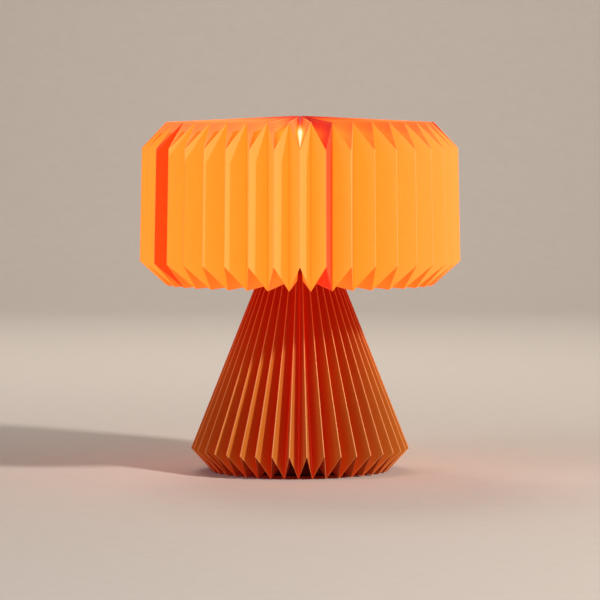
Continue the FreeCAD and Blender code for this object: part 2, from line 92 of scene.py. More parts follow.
# Dyed folding paper of about 200 g per square metre: matte, with short fibres, a soft cloudiness
# where the dye has taken unevenly, and paler fibres where a fold has been scored and creased, with a painted
# highlight on the folds as well. It is painted a deep red, as painted shade, where two layers lie together
# and where it is steeped in the bulb's red light.
paper = {
    "cloudSize": 18.0,  # millimetres
    "fibreSize": 2.2,  # about four times the real size, so that the fibres show
    "fibreDepth": 0.06,
    "cloudHeight": 2.0,  # height of a cloud against a fibre's
    "fibreGlow": 0.2, "cloudGlow": 0.08,  # how far each one changes the light that comes through
    "roughness": 0.82, "specular": 0.3, "sheenRoughness": 0.45,
    # doubled and deep are painted shade; crease is the paler scored fibres together with a painted highlight.
    "tints": (("doubled", 0.8, "#cc2c0c"), ("deep", 1.0, "#8a0400"), ("crease", 0.75, "#eeb070")),
}
paperMarks = ("crease", "doubled", "glow", "deep")
# The light of the bulb behind the paper, painted as the paper's own emission, from two layers of it up to a
# bare chink.
glowStops = [(0.0, "#000000"), (0.1, "#5a0500"), (0.3, "#cc1800"), (0.45, "#da5c00"), (0.6, "#e6861a"),
             (0.75, "#f2a02a"), (0.88, "#ffca66"), (1.0, "#fff4d8")]


def paperMaterial(name, dye, cloudDye, sheen):
    material, tree = newMaterial(name)
    place = addNode(tree, "ShaderNodeTexCoord").outputs["Object"]
    cloud = addNode(tree, "ShaderNodeTexNoise", {"Vector": place}, {
        "Scale": 1 / (paper["cloudSize"] * millimetre), "Detail": 4.0, "Roughness": 0.55}).outputs["Fac"]
    fibres = addNode(tree, "ShaderNodeTexNoise", {"Vector": place}, {
        "Scale": 1 / (paper["fibreSize"] * millimetre), "Detail": 5.0, "Roughness": 0.7}).outputs["Fac"]
    marks = {label: addNode(tree, "ShaderNodeAttribute", attribute_name=label).outputs["Fac"]
             for label in paperMarks}
    body = addNode(tree, "ShaderNodeMix", {0: cloud}, {6: colour(dye), 7: colour(cloudDye)},
                   data_type="RGBA").outputs[2]
    for label, share, tint in paper["tints"]:
        factor = addNode(tree, "ShaderNodeMath", {0: marks[label]}, {1: share}, operation="MULTIPLY")
        body = addNode(tree, "ShaderNodeMix", {0: factor.outputs[0], 6: body}, {7: colour(tint)},
                       data_type="RGBA").outputs[2]
    # Painted glow: the emission stands in for the light that comes through the paper or falls on it.
    level = marks["glow"]
    for pattern, reach in ((fibres, paper["fibreGlow"]), (cloud, paper["cloudGlow"])):
        around = addNode(tree, "ShaderNodeMath", {0: pattern}, {1: 0.5}, operation="SUBTRACT")
        share = addNode(tree, "ShaderNodeMath", {0: around.outputs[0]}, {1: reach}, operation="MULTIPLY")
        level = addNode(tree, "ShaderNodeMath", {0: share.outputs[0], 1: marks["glow"], 2: level},
                        operation="MULTIPLY_ADD").outputs[0]
    light = addNode(tree, "ShaderNodeValToRGB", {"Fac": level})
    elements = light.color_ramp.elements
    while len(elements) < len(glowStops):
        elements.new(0.5)
    for element, (stop, tint) in zip(elements, glowStops):
        element.position = stop
        element.color = colour(tint)
    height = addNode(tree, "ShaderNodeMath", {0: cloud, 2: fibres}, {1: paper["cloudHeight"]},
                     operation="MULTIPLY_ADD")
    bump = addNode(tree, "ShaderNodeBump", {"Height": height.outputs[0]},
                   {"Strength": bumpStrength, "Distance": paper["fibreDepth"] * millimetre})
    shader = addNode(tree, "ShaderNodeBsdfPrincipled", {
        "Base Color": body, "Emission Color": light.outputs["Color"], "Normal": bump.outputs[0],
    }, {"Roughness": paper["roughness"], "Emission Strength": 1.0, "Specular IOR Level": paper["specular"],
        "Sheen Weight": sheen, "Sheen Roughness": paper["sheenRoughness"]})
    addNode(tree, "ShaderNodeOutputMaterial", {"Surface": shader.outputs[0]})
    return material


def spot(radius, angle, height, aside):
    # A point round the lamp, in millimetres. The angle is counted from the front towards +X.
    turn = math.radians(angle)
    return Vector((math.sin(turn) * radius + math.cos(turn) * aside,
                   -math.cos(turn) * radius + math.sin(turn) * aside, height))


def sheetGrid(mesh, across, along):
    # A flat grid, with its corners listed column by column.
    bmesh.ops.create_grid(mesh, x_segments=across - 1, y_segments=along - 1, size=1)
    return sorted(mesh.verts, key=lambda corner: (round(corner.co.x, 5), corner.co.y))


def meshPiece(name, mesh, material, body, replaced):
    data = bpy.data.meshes.new(name)
    mesh.to_mesh(data)
    mesh.free()
    data.materials.append(material)
    piece = bpy.data.objects.new(name, data)
    bpy.context.scene.collection.objects.link(piece)
    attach(piece, body)
    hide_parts(*replaced)
    return piece


# What both pleatings share, in millimetres: half the width of a fold, the paper, how deep a glue flap
# lies, the strip beside a cross fold, the most that a panel bows, the share of a panel in a crease,
# the shares between its creases, and the share on either side of a point that gives its slope.
fold = {"pleats": 40, "sheets": 5, "perSheet": 16, "half": 0.3, "paper": 0.25, "layer": 0.45, "line": 0.9,
        "bow": 0.35, "crease": 0.035, "across": (0.25, 0.5, 0.75), "slope": 0.01}


def shareSteps(length, count):
    # Shares along a stretch between two cross folds, with a narrow step beside each fold.
    near = fold["line"] / length
    return [0.0, near] + [near + (1 - 2 * near) * step / count for step in range(1, count)] + [1 - near]


def foldedSheet(name, sheet, number, material):
    # One sheet of the pleating. Even folds are ridges and odd folds are valleys. Each stretch lies
    # between two cross folds, and every panel is swept straight from fold to fold.
    halfPitch = 180 / fold["pleats"]
    first = sheet["start"] + number * fold["perSheet"] * halfPitch
    rows = []
    for stretch, count in enumerate(sheet["counts"]):
        low, high = sheet["rows"][stretch:stretch + 2]
        length = math.hypot(high[0][0] - low[0][0], high[0][1] - low[0][1])
        rows += [(stretch, share) for share in shareSteps(length, count)]
    rows.append((len(sheet["counts"]) - 1, 1.0))
    random.seed(sheet["seed"])
    bows = [random.uniform(-1, 1) * fold["bow"] for panel in range(2 * fold["pleats"])]

    def foldPoint(turn, side, row):
        stretch, share = row
        which = turn % 2
        low, high = sheet["rows"][stretch][which], sheet["rows"][stretch + 1][which]
        radius = low[0] + (high[0] - low[0]) * share
        height = low[1] + (high[1] - low[1]) * share
        return spot(radius, first + turn * halfPitch, height, side * fold["half"])

    def panelPoint(turn, share, row, tucked):
        left, right = foldPoint(turn, 1, row), foldPoint(turn + 1, -1, row)
        stretch, up = row
        below, above = (stretch, max(up - fold["slope"], 0)), (stretch, min(up + fold["slope"], 1))
        rise = (foldPoint(turn, 1, above) - foldPoint(turn, 1, below)).lerp(
            foldPoint(turn + 1, -1, above) - foldPoint(turn + 1, -1, below), share)
        normal = (right - left).cross(rise).normalized()
        panel = int(round((first + turn * halfPitch) / halfPitch)) % len(bows)
        swell = bows[panel] * math.sin(math.pi * share) * math.sin(math.pi * up)
        return left.lerp(right, share) + normal * (swell - (fold["layer"] if tucked else 0))

    columns = []

    def addPanel(turn, start, end, tucked, doubled):
        shares = [start, start + fold["crease"], *fold["across"], end - fold["crease"], end]
        for place, share in enumerate(shares):
            onFold = place in (0, len(shares) - 1)
            columns.append({"points": [panelPoint(turn, share, row, tucked) for row in rows],
                            "crease": 1.0 if onFold and not tucked else 0.0,
                            "valley": share if turn % 2 == 0 else 1 - share,
                            "tucked": tucked, "doubled": doubled})

    width = sheet["width"]
    addPanel(0, sheet["flapShort"] / width, 1.0, True, 1.0)
    for turn in range(1, fold["perSheet"] + 1):
        last = turn == fold["perSheet"]
        addPanel(turn, 0.0, 1 - sheet["edgeShort"] / width if last else 1.0, False, 1.0 if last else 0.0)

    mesh = bmesh.new()
    marks = {label: mesh.verts.layers.float.new(label) for label in paperMarks}
    corners = sheetGrid(mesh, len(columns), len(rows))
    where = {}
    for across, column in enumerate(columns):
        for along, (row, point) in enumerate(zip(rows, column["points"])):
            corner = corners[across * len(rows) + along]
            where[corner] = (across, along)
            corner.co = point * millimetre
            folded = max(column["crease"], 1.0 if row[1] in (0.0, 1.0) else 0.0)
            reach = row[0] < sheet["flapEnd"][0] or row[1] <= sheet["flapEnd"][1]
            both = column["doubled"] if reach else 0.0
            # Painted glow and painted shade from the sheet's own rule, a painted highlight and a painted
            # darkening of the glow along its folds, and painted shade where it is doubled.
            level, paintedShade = sheet["light"](row, column["valley"], point, both)
            corner[marks["crease"]] = folded * sheet["creaseSeen"](point)
            corner[marks["doubled"]] = both * sheet["seamSeen"]
            corner[marks["glow"]] = level - sheet["foldShade"][row[0]] * folded
            corner[marks["deep"]] = paintedShade
    # The glue flap stops short of the gathered end.
    spare = []
    for face in mesh.faces:
        across, along = min(where[corner] for corner in face.verts)
        if columns[across]["tucked"] and rows[along] >= sheet["flapEnd"]:
            spare.append(face)
    bmesh.ops.delete(mesh, geom=spare, context="FACES")
    piece = meshPiece(name, mesh, material, sheet["body"],
                      [f"{sheet['node']}_{number + 1}"])
    skin = piece.modifiers.new("thickness", "SOLIDIFY")
    skin.thickness = fold["paper"] * millimetre
    skin.offset = 0.0
    return piece


def bell(value, width):
    return math.exp(-(value / width) ** 2)


def ease(value, start, end):
    part = min(max((value - start) / (end - start), 0), 1)
    return part * part * (3 - 2 * part)


shade = {
    "node": "shade_sheet", "body": "shade", "start": 9.0, "seed": 4, "width": 28.0,
    # Radius and height of the ridge fold, then of the valley fold, at each cross fold.
    "rows": [((42.5, 219.0), (42.5, 192.0)), ((160.2, 210.5), (133.5, 186.6)),
             ((157.8, 323.3), (133.5, 349.0)), ((8.0, 326.5), (8.0, 355.0))],
    "counts": [10, 10, 14], "flapShort": 1.2, "edgeShort": 1.4, "flapEnd": (2, 0.85),
    # How bright the painted glow of each stretch is, with the painted hot spot at the hub, and what two
    # layers take from it.
    "wall": 0.63, "wallRise": 0.06, "wallDepth": 26.5, "wallSeam": 0.47,
    "flap": 0.525, "flapDip": 0.05, "flapDipAt": 147, "flapDipWidth": 20, "flapSeam": 0.42,
    "top": 0.515, "wide": 0.20, "wideWidth": 130, "core": 0.40, "coreWidth": 82,
    "crestFrom": 0.56, "crestTo": 0.8, "hubWidth": 58, "hubLoss": 0.3, "hubDeep": 0.95,
    "rimLoss": 0.085, "rimFrom": 95, "rimTo": 145, "topSeam": 0.4, "seamDeep": 0.9,
    # The folds' painted highlight, weaker round the hub; painted shade on the seam; and how far the painted
    # glow darkens along the folds of each stretch.
    "crease": 0.5, "hubCrease": 0.45, "hubCreaseWidth": 50, "seamSeen": 1.0, "foldShade": (0.10, 0.12, 0.0),
}
base = {
    "node": "base_sheet", "body": "stand", "seed": 9, "width": 27.0,
    "start": 3.55 + 9.0,  # its ridges stand a little round from the shade's
    "rows": [((62.0, 39.25), (62.0, 9.27)), ((109.2, 23.0), (88.2, 0.25)), ((35.6, 208.1), (10.0, 196.96))],
    "counts": [4, 18], "flapShort": 1.6, "edgeShort": 1.9, "flapEnd": (1, 0.85),
    # Painted red glow of the shade's light and painted shade: on the turned-in flap, up the cone, and down
    # between the pleats; the folds' painted highlight fades upwards.
    "flap": 0.08, "flapDeep": 0.5, "low": 0.15, "high": 0.05, "highFrom": 40, "highTo": 190,
    "ridgeShare": 0.65, "ridgeDeep": (85, 190), "valleyDeep": (-60, 120), "valleyShare": 0.6,
    "creaseLoss": 0.7, "creaseFrom": 100, "creaseTo": 200, "seamSeen": 0.0, "foldShade": (0.0, 0.0),
}


def shadeLight(row, valley, point, both):
    # How much light comes through, painted as the paper's glow, and how far the colour is deepened as
    # painted shade. The paper glows evenly where it stands round the bulb, a little less down in the
    # valleys and in the turned-in flap, and hardly where two layers lie on each other. The bulb shows
    # through the troughs at the hub as a painted hot spot, while the crests there are gathered too thickly.
    stretch, up = row
    radius = math.hypot(point.x, point.y)
    if stretch == 1:
        out = (radius - shade["rows"][1][1][0]) / shade["wallDepth"]
        return (shade["wall"] + shade["wallRise"] * out) * (1 - shade["wallSeam"] * both), 0.0
    if stretch == 0:
        dip = shade["flapDip"] * bell(radius - shade["flapDipAt"], shade["flapDipWidth"])
        return (shade["flap"] - dip) * (1 - shade["flapSeam"] * both), 0.0
    troughAndCrest = zip(shade["rows"][2], shade["rows"][3])
    trough, crest = [rim[1] + (hub[1] - rim[1]) * up for rim, hub in troughAndCrest]
    lift = (point.z - trough) / (crest - trough)
    low = 1 - ease(lift, shade["crestFrom"], shade["crestTo"])
    gathered = (1 - low) * bell(radius, shade["hubWidth"])
    shine = (shade["wide"] * bell(radius, shade["wideWidth"])
             + shade["core"] * bell(radius, shade["coreWidth"]))
    loss = shade["hubLoss"] * gathered + shade["rimLoss"] * ease(radius, shade["rimFrom"], shade["rimTo"])
    level = (shade["top"] + shine * low - loss) * (1 - shade["topSeam"] * both)
    return level, min(shade["hubDeep"] * gathered + shade["seamDeep"] * both, 1.0)


def baseLight(row, valley, point, both):
    # Under the shade the cone is filled with red light, most of all down between its pleats: a painted glow,
    # with the colour deepened as painted shade.
    if row[0] == 0:
        return base["flap"], base["flapDeep"]
    level = base["low"] + base["high"] * ease(point.z, base["highFrom"], base["highTo"])
    onRidge, inValley = ease(point.z, *base["ridgeDeep"]), ease(point.z, *base["valleyDeep"])
    return (level * (base["ridgeShare"] + (1 - base["ridgeShare"]) * valley),
            onRidge + (inValley - onRidge) * valley * base["valleyShare"])


# How much of the folds' painted highlight shows: less round the hub.
def shadeCrease(point):
    return shade["crease"] - shade["hubCrease"] * bell(math.hypot(point.x, point.y), shade["hubCreaseWidth"])


# The folds' painted highlight fades upwards into the shadow under the shade.
def baseCrease(point):
    return 1 - base["creaseLoss"] * ease(point.z, base["creaseFrom"], base["creaseTo"])


shade |= {"light": shadeLight, "creaseSeen": shadeCrease}
base |= {"light": baseLight, "creaseSeen": baseCrease}
# One paper in two copies: the shade's colour is made pinker, a painted tint of the bulb's light behind it.
shadePaper = paperMaterial("dyedPaperShade", "#d06c46", "#c6623e", 0.1)  # pinker, with the bulb behind it
basePaper = paperMaterial("dyedPaperBase", "#ba7520", "#b06c1c", 0.05)
for sheetNumber in range(fold["sheets"]):
    foldedSheet(f"shadePaper{sheetNumber + 1}", shade, sheetNumber, shadePaper)
    foldedSheet(f"basePaper{sheetNumber + 1}", base, sheetNumber, basePaper)
print("paper folded")


# How many grains make a blotch, how far the roughness varies and from how far below its middle, and
# the depth of the scratches in millimetres.
metalFinish = {"blotch": 12, "spread": 0.18, "below": 0.09, "scratch": 0.02}
matteFinish = {"blotch": 15, "spread": 0.15, "below": 0.07}


def metal(name, light, dark, roughness, grain):
    # grain is in millimetres.
    material, tree = newMaterial(name)
    place = addNode(tree, "ShaderNodeTexCoord").outputs["Object"]
    blotch = addNode(tree, "ShaderNodeTexNoise", {"Vector": place}, {
        "Scale": 1 / (metalFinish["blotch"] * grain * millimetre), "Detail": 3.0,
        "Roughness": 0.5}).outputs["Fac"]
    fine = addNode(tree, "ShaderNodeTexNoise", {"Vector": place}, {
        "Scale": 1 / (grain * millimetre), "Detail": 4.0, "Roughness": 0.6}).outputs["Fac"]
    tint = addNode(tree, "ShaderNodeMix", {0: blotch}, {6: colour(light), 7: colour(dark)}, data_type="RGBA")
    rough = addNode(tree, "ShaderNodeMath", {0: fine}, {
        1: metalFinish["spread"], 2: roughness - metalFinish["below"]}, operation="MULTIPLY_ADD")
    bump = addNode(tree, "ShaderNodeBump", {"Height": fine},
                   {"Strength": bumpStrength, "Distance": metalFinish["scratch"] * millimetre})
    shader = addNode(tree, "ShaderNodeBsdfPrincipled", {
        "Base Color": tint.outputs[2], "Roughness": rough.outputs[0], "Normal": bump.outputs[0],
    }, {"Metallic": 1.0})
    addNode(tree, "ShaderNodeOutputMaterial", {"Surface": shader.outputs[0]})
    return material


def matte(name, light, dark, roughness, grain, depth, specular=0.4):
    # grain and depth are in millimetres.
    material, tree = newMaterial(name)
    place = addNode(tree, "ShaderNodeTexCoord").outputs["Object"]
    blotch = addNode(tree, "ShaderNodeTexNoise", {"Vector": place}, {
        "Scale": 1 / (matteFinish["blotch"] * grain * millimetre), "Detail": 4.0,
        "Roughness": 0.5}).outputs["Fac"]
    fine = addNode(tree, "ShaderNodeTexNoise", {"Vector": place}, {
        "Scale": 1 / (grain * millimetre), "Detail": 4.0, "Roughness": 0.65}).outputs["Fac"]
    tint = addNode(tree, "ShaderNodeMix", {0: blotch}, {6: colour(light), 7: colour(dark)}, data_type="RGBA")
    rough = addNode(tree, "ShaderNodeMath", {0: fine}, {
        1: matteFinish["spread"], 2: roughness - matteFinish["below"]}, operation="MULTIPLY_ADD")
    bump = addNode(tree, "ShaderNodeBump", {"Height": fine},
                   {"Strength": bumpStrength, "Distance": depth * millimetre})
    shader = addNode(tree, "ShaderNodeBsdfPrincipled", {
        "Base Color": tint.outputs[2], "Roughness": rough.outputs[0], "Normal": bump.outputs[0],
    }, {"Specular IOR Level": specular})
    addNode(tree, "ShaderNodeOutputMaterial", {"Surface": shader.outputs[0]})
    return material


def phosphorCoat(light, dark, grain, strength):
    # Filaments under a coat of phosphor: grains of warm light, brighter than anything round them.
    material, tree = newMaterial("phosphorCoat")
    place = addNode(tree, "ShaderNodeTexCoord").outputs["Object"]
    grains = addNode(tree, "ShaderNodeTexNoise", {"Vector": place}, {
        "Scale": 1 / (grain * millimetre), "Detail": 2.0, "Roughness": 0.5}).outputs["Fac"]
    tint = addNode(tree, "ShaderNodeMix", {0: grains}, {6: colour(light), 7: colour(dark)}, data_type="RGBA")
    shader = addNode(tree, "ShaderNodeBsdfPrincipled", {
        "Base Color": tint.outputs[2], "Emission Color": tint.outputs[2],
    }, {"Roughness": 0.5, "Emission Strength": strength})
    addNode(tree, "ShaderNodeOutputMaterial", {"Surface": shader.outputs[0]})
    return material


def blownGlass(waveSize, waveDepth):
    # Clear blown glass: nearly colourless, polished by the fire, with faint waves where it was drawn.
    material, tree = newMaterial("blownGlass")
    place = addNode(tree, "ShaderNodeTexCoord").outputs["Object"]
    waves = addNode(tree, "ShaderNodeTexNoise", {"Vector": place}, {
        "Scale": 1 / (waveSize * millimetre), "Detail": 2.0, "Roughness": 0.5}).outputs["Fac"]
    bump = addNode(tree, "ShaderNodeBump", {"Height": waves},
                   {"Strength": bumpStrength, "Distance": waveDepth * millimetre})
    shader = addNode(tree, "ShaderNodeBsdfPrincipled", {"Normal": bump.outputs[0]}, {
        "Base Color": colour("#fbf6ea"), "Roughness": 0.03, "IOR": 1.45, "Transmission Weight": 1.0})
    addNode(tree, "ShaderNodeOutputMaterial", {"Surface": shader.outputs[0]})
    return material


# Zinc-plated steel, drawn and then plated: pale cool grey with a satin that varies a little.
zincSteel = metal("zincPlatedSteel", "#b9bab6", "#a3a5a3", roughness=0.38, grain=0.8)
# Drawn brass, left bare: warm yellow, brighter than the plating, darker where it has been handled.
drawnBrass = metal("drawnBrass", "#c9a350", "#b08a3e", roughness=0.30, grain=0.5)
# Nickel plate over rolled brass: a warm grey that is nearly a mirror.
nickelPlate = metal("nickelPlate", "#c8c4ba", "#b4b0a6", roughness=0.24, grain=0.5)
# Drawn nickel wire: the same grey, duller.
nickelWire = metal("nickelWire", "#bdbab2", "#a9a69e", roughness=0.3, grain=0.4)
# Powder-coated cast iron: brick red, with the low orange peel of a baked coat.
powderIron = matte("powderCoatedIron", "#7c3222", "#6a2a1c", roughness=0.62, grain=0.9, depth=0.08)
# Moulded thermoset: an off-white with a low, even gloss.
moulded = matte("mouldedThermoset", "#e6e2da", "#dcd7cd", roughness=0.42, grain=0.5, depth=0.01, specular=0.5)
# Pressed ceramic, fired without a glaze: chalky and faintly grainy.
bisque = matte("bisqueCeramic", "#e2dccf", "#d6cfc0", roughness=0.7, grain=0.4, depth=0.03)
# Soft moulded rubber: nearly black, and dull.
softRubber = matte("softRubber", "#1c1c1d", "#151516", roughness=0.7, grain=0.6, depth=0.02)
# Fused black glass round the cap's contact: black with a hard shine.
vitrite = matte("blackVitrite", "#121214", "#0c0c0e", roughness=0.15, grain=0.8, depth=0.01, specular=0.6)
# Pressed grey board: flat, fibrous and without any shine.
greyBoard = matte("greyBoard", "#b9ae9b", "#a99e8b", roughness=0.85, grain=0.7, depth=0.05, specular=0.2)
# Dyed wool felt: deep brown, matted fibres that stand up and take the light unevenly.
woolFelt = matte("woolFelt", "#4a2216", "#371810", roughness=0.95, grain=1.1, depth=0.3, specular=0.1)
filamentLight = phosphorCoat("#ffd9a0", "#ffb04a", grain=1.2, strength=8.0)
clearGlass = blownGlass(waveSize=12, waveDepth=0.08)

carried = {
    "foot_weight": powderIron, "cable_bush": softRubber, "stem_tube": zincSteel, "foot_washer": zincSteel,
    "stem_nuts": zincSteel, "holder_core": bisque, "holder_contact": drawnBrass, "bulb_contact": drawnBrass,
    "bulb_insulator": vitrite, "bulb_support": nickelWire, "bulb_filaments": filamentLight,
    "bulb_post": clearGlass,
}
for nodeName, finish in carried.items():
    nodes[nodeName].data.materials.clear()
    nodes[nodeName].data.materials.append(finish)
print("materials mixed")

turning = {"sharp": 35, "bevelFrom": 40, "bevelSteps": 2}


def turned(name, node, outline, material, body, steps=96, shape=None, bevel=0.0):
    # An outline of radius and height above the node's low end, in millimetres, spun round the
    # lamp's axis. It is closed unless it starts on the axis. shape moves a point of it in or out,
    # for threads and flutes.
    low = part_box(node)[0].z / millimetre
    mesh = bmesh.new()
    corners = [mesh.verts.new((radius * millimetre, 0, (height + low) * millimetre))
               for radius, height in outline]
    following = corners[1:] + (corners[:1] if outline[0][0] > 0 else [])
    edges = [mesh.edges.new(pair) for pair in zip(corners, following)]
    bmesh.ops.spin(mesh, geom=corners + edges, axis=(0, 0, 1), cent=(0, 0, 0), angle=2 * math.pi,
                   steps=steps, use_merge=True)
    bmesh.ops.remove_doubles(mesh, verts=mesh.verts, dist=1e-7)
    bmesh.ops.dissolve_degenerate(mesh, dist=1e-8, edges=mesh.edges)
    bmesh.ops.recalc_face_normals(mesh, faces=mesh.faces)
    if shape:
        for corner in mesh.verts:
            radius = corner.co.xy.length
            moved = shape(radius / millimetre, corner.co.z / millimetre - low,
                          math.atan2(corner.co.x, -corner.co.y))
            corner.co.xy *= moved * millimetre / radius
    for face in mesh.faces:
        face.smooth = True
    piece = meshPiece(name, mesh, material, body, [node])
    piece.data.set_sharp_from_angle(angle=math.radians(turning["sharp"]))
    if bevel:
        edge = piece.modifiers.new("edges", "BEVEL")
        edge.width = bevel * millimetre
        edge.segments = turning["bevelSteps"]
        edge.limit_method = "ANGLE"
        edge.angle_limit = math.radians(turning["bevelFrom"])
    return piece


def arc(middle, radius, start, end, steps):
    turns = [math.radians(start + (end - start) * step / steps) for step in range(steps + 1)]
    return [(middle[0] + radius * math.cos(turn), middle[1] + radius * math.sin(turn)) for turn in turns]


def flatRing(inner, outer, thick):
    return [(inner, 0), (outer, 0), (outer, thick), (inner, thick)]


# Dished washer that holds the cone's gathered neck.
neckCup = {"bore": 5.15, "flat": 10.0, "rim": 31.0, "rise": 9.37, "thick": 1.0, "bevel": 0.2}
cupUnder = [(neckCup["bore"], 0), (neckCup["flat"], 0), (neckCup["rim"], neckCup["rise"])]
cupOver = [(radius, height + neckCup["thick"]) for radius, height in reversed(cupUnder)]
turned("neckCup", "neck_cup", cupUnder + cupOver, zincSteel, "stand", bevel=neckCup["bevel"])

# Punched card disc under the hub, and the flat hoop on the hem.
hubDisc = {"hole": 4.0, "rim": 22.0, "thick": 1.2, "bevel": 0.15}
turned("hubDisc", "shade_hub_disc", flatRing(hubDisc["hole"], hubDisc["rim"], hubDisc["thick"]), greyBoard,
       "shade", bevel=hubDisc["bevel"])
hemHoop = {"inner": 45.0, "outer": 49.0, "thick": 0.8, "bevel": 0.15, "steps": 160}
turned("hemHoop", "shade_hem_ring", flatRing(hemHoop["inner"], hemHoop["outer"], hemHoop["thick"]), zincSteel,
       "shade", steps=hemHoop["steps"], bevel=hemHoop["bevel"])

# Lampholder: fluted cap below, skirt with two rolled grooves above, brass sleeve with a screw thread.
holderCap = {"bore": 5.0, "neck": 8.5, "neckHigh": 4.0, "chamfer": 0.6, "shoulder": 1.4, "rim": 13.8,
             "inside": 12.6, "roof": 10.0, "high": 16.0, "flutes": 30, "fluteDeep": 0.35,
             "fluteFrom": 5.9, "fluteTo": 14.1, "fluteEnd": 14.8, "fluteRows": (5.5, 14.5), "steps": 240}


def flutedCap(radius, height, turn):
    low, high = holderCap["fluteRows"]
    if radius < holderCap["rim"] - 0.01 or height < low or height > high:
        return radius
    return radius - holderCap["fluteDeep"] * (0.5 + 0.5 * math.cos(turn * holderCap["flutes"]))


capShoulder = arc((holderCap["rim"] - holderCap["shoulder"], holderCap["neckHigh"] + holderCap["shoulder"]),
                  holderCap["shoulder"], -90, 0, 5)
turned("holderCap", "holder_cap",
       [(holderCap["bore"], 0), (holderCap["neck"] - holderCap["chamfer"], 0),
        (holderCap["neck"], holderCap["chamfer"]), (holderCap["neck"], holderCap["neckHigh"])] + capShoulder
       + [(holderCap["rim"], holderCap["fluteFrom"]), (holderCap["rim"], holderCap["fluteTo"]),
          (holderCap["rim"], holderCap["fluteEnd"]), (holderCap["rim"], holderCap["high"]),
          (holderCap["inside"], holderCap["high"]), (holderCap["inside"], holderCap["roof"]),
          (holderCap["bore"], holderCap["roof"])],
       moulded, "stand", steps=holderCap["steps"], shape=flutedCap)

holderSkirt = {"bore": 12.6, "rim": 13.8, "high": 26.0, "grooves": (4.0, 19.5), "deep": 0.45,
               "mouth": 0.8, "bottom": 0.4, "lip": 0.5}
skirtSide = [(holderSkirt["rim"], 0.0)]
for grooveHeight in holderSkirt["grooves"]:
    for step, sunk in ((-holderSkirt["mouth"], 0), (-holderSkirt["bottom"], holderSkirt["deep"]),
                       (holderSkirt["bottom"], holderSkirt["deep"]), (holderSkirt["mouth"], 0)):
        skirtSide.append((holderSkirt["rim"] - sunk, grooveHeight + step))
skirtSide += arc((holderSkirt["rim"] - holderSkirt["lip"], holderSkirt["high"] - holderSkirt["lip"]),
                 holderSkirt["lip"], 0, 90, 4)
turned("holderSkirt", "holder_skirt",
       [(holderSkirt["bore"], 0.0)] + skirtSide + [(holderSkirt["bore"], holderSkirt["high"])],
       moulded, "stand")

# The thread of a small screw cap, which fades in and out over a length.
screw = {"pitch": 2.822, "deep": 0.42, "fade": 1.2}


def threaded(low, high, outwards):
    def shape(radius, height, turn):
        if not low < height < high:
            return radius
        wave = 0.5 - 0.5 * math.cos(2 * math.pi * height / screw["pitch"] - turn)
        fade = min((height - low) / screw["fade"], (high - height) / screw["fade"], 1)
        return radius + outwards * screw["deep"] * wave * fade
    return shape


threadSleeve = {"inner": 7.25, "outer": 7.35, "high": 19.0, "rows": 80, "thread": (0.5, 18.5),
                "outwards": 0.7, "steps": 72}
sleeveHeights = [threadSleeve["high"] * step / threadSleeve["rows"]
                 for step in range(threadSleeve["rows"] + 1)]
turned("threadSleeve", "holder_thread_sleeve",
       [(threadSleeve["outer"], height) for height in sleeveHeights]
       + [(threadSleeve["inner"], height) for height in reversed(sleeveHeights)],
       drawnBrass, "stand", steps=threadSleeve["steps"],
       shape=threaded(*threadSleeve["thread"], threadSleeve["outwards"]))

# Bulb: screw cap rolled with the same thread, collar crimped on the neck, and a blown globe.
bulbCap = {"wall": 0.3, "crest": 6.95, "screwHigh": 15.2, "rows": 76, "flare": 0.6, "flareAt": 15.4,
           "collar": 8.4, "collarFrom": 15.9, "collarTo": 17.9, "high": 18.3, "lip": 0.15, "lipInside": 0.35,
           "thread": (0.8, 14.6), "outwards": -1.0, "steps": 72}
capOutside = [(bulbCap["crest"], bulbCap["screwHigh"] * step / bulbCap["rows"])
              for step in range(bulbCap["rows"] + 1)]
capOutside += [(bulbCap["crest"] + bulbCap["flare"], bulbCap["flareAt"]),
               (bulbCap["collar"], bulbCap["collarFrom"]), (bulbCap["collar"], bulbCap["collarTo"]),
               (bulbCap["collar"] - bulbCap["lip"], bulbCap["high"])]
capInside = [(radius - bulbCap["wall"], height) for radius, height in reversed(capOutside)]
capInside[0] = (bulbCap["collar"] - bulbCap["lipInside"], bulbCap["high"])
turned("bulbCap", "bulb_cap", capOutside + capInside, nickelPlate, "bulb", steps=bulbCap["steps"],
       shape=threaded(*bulbCap["thread"], bulbCap["outwards"]))

# The neck runs into the globe along a curve that leaves it upright and meets the globe's own slope.
bulbGlobe = {"neck": 7.6, "wall": 0.8, "radius": 22.5, "middle": 27.0, "neckHigh": 1.45, "join": -46,
             "pull": 3.2, "lean": 4.5, "neckSteps": 8, "globeSteps": 22, "steps": 64}


def globeSide(shrink):
    neck = bulbGlobe["neck"] - shrink
    radius = bulbGlobe["radius"] - shrink
    side = [(neck, 0.0), (neck, bulbGlobe["neckHigh"])]
    joinTurn = math.radians(bulbGlobe["join"])
    join = (radius * math.cos(joinTurn), bulbGlobe["middle"] + radius * math.sin(joinTurn))
    pull = (neck, bulbGlobe["neckHigh"] + bulbGlobe["pull"])
    lean = (join[0] + math.sin(joinTurn) * bulbGlobe["lean"],
            join[1] - math.cos(joinTurn) * bulbGlobe["lean"])
    for step in range(1, bulbGlobe["neckSteps"]):
        share = step / bulbGlobe["neckSteps"]
        weights = ((1 - share) ** 3, 3 * share * (1 - share) ** 2, 3 * share ** 2 * (1 - share), share ** 3)
        bends = (side[1], pull, lean, join)
        side.append(tuple(sum(weight * bend[axis] for weight, bend in zip(weights, bends))
                          for axis in (0, 1)))
    side += arc((0, bulbGlobe["middle"]), radius, bulbGlobe["join"], 90, bulbGlobe["globeSteps"])
    side[-1] = (0.0, bulbGlobe["middle"] + radius)
    return side


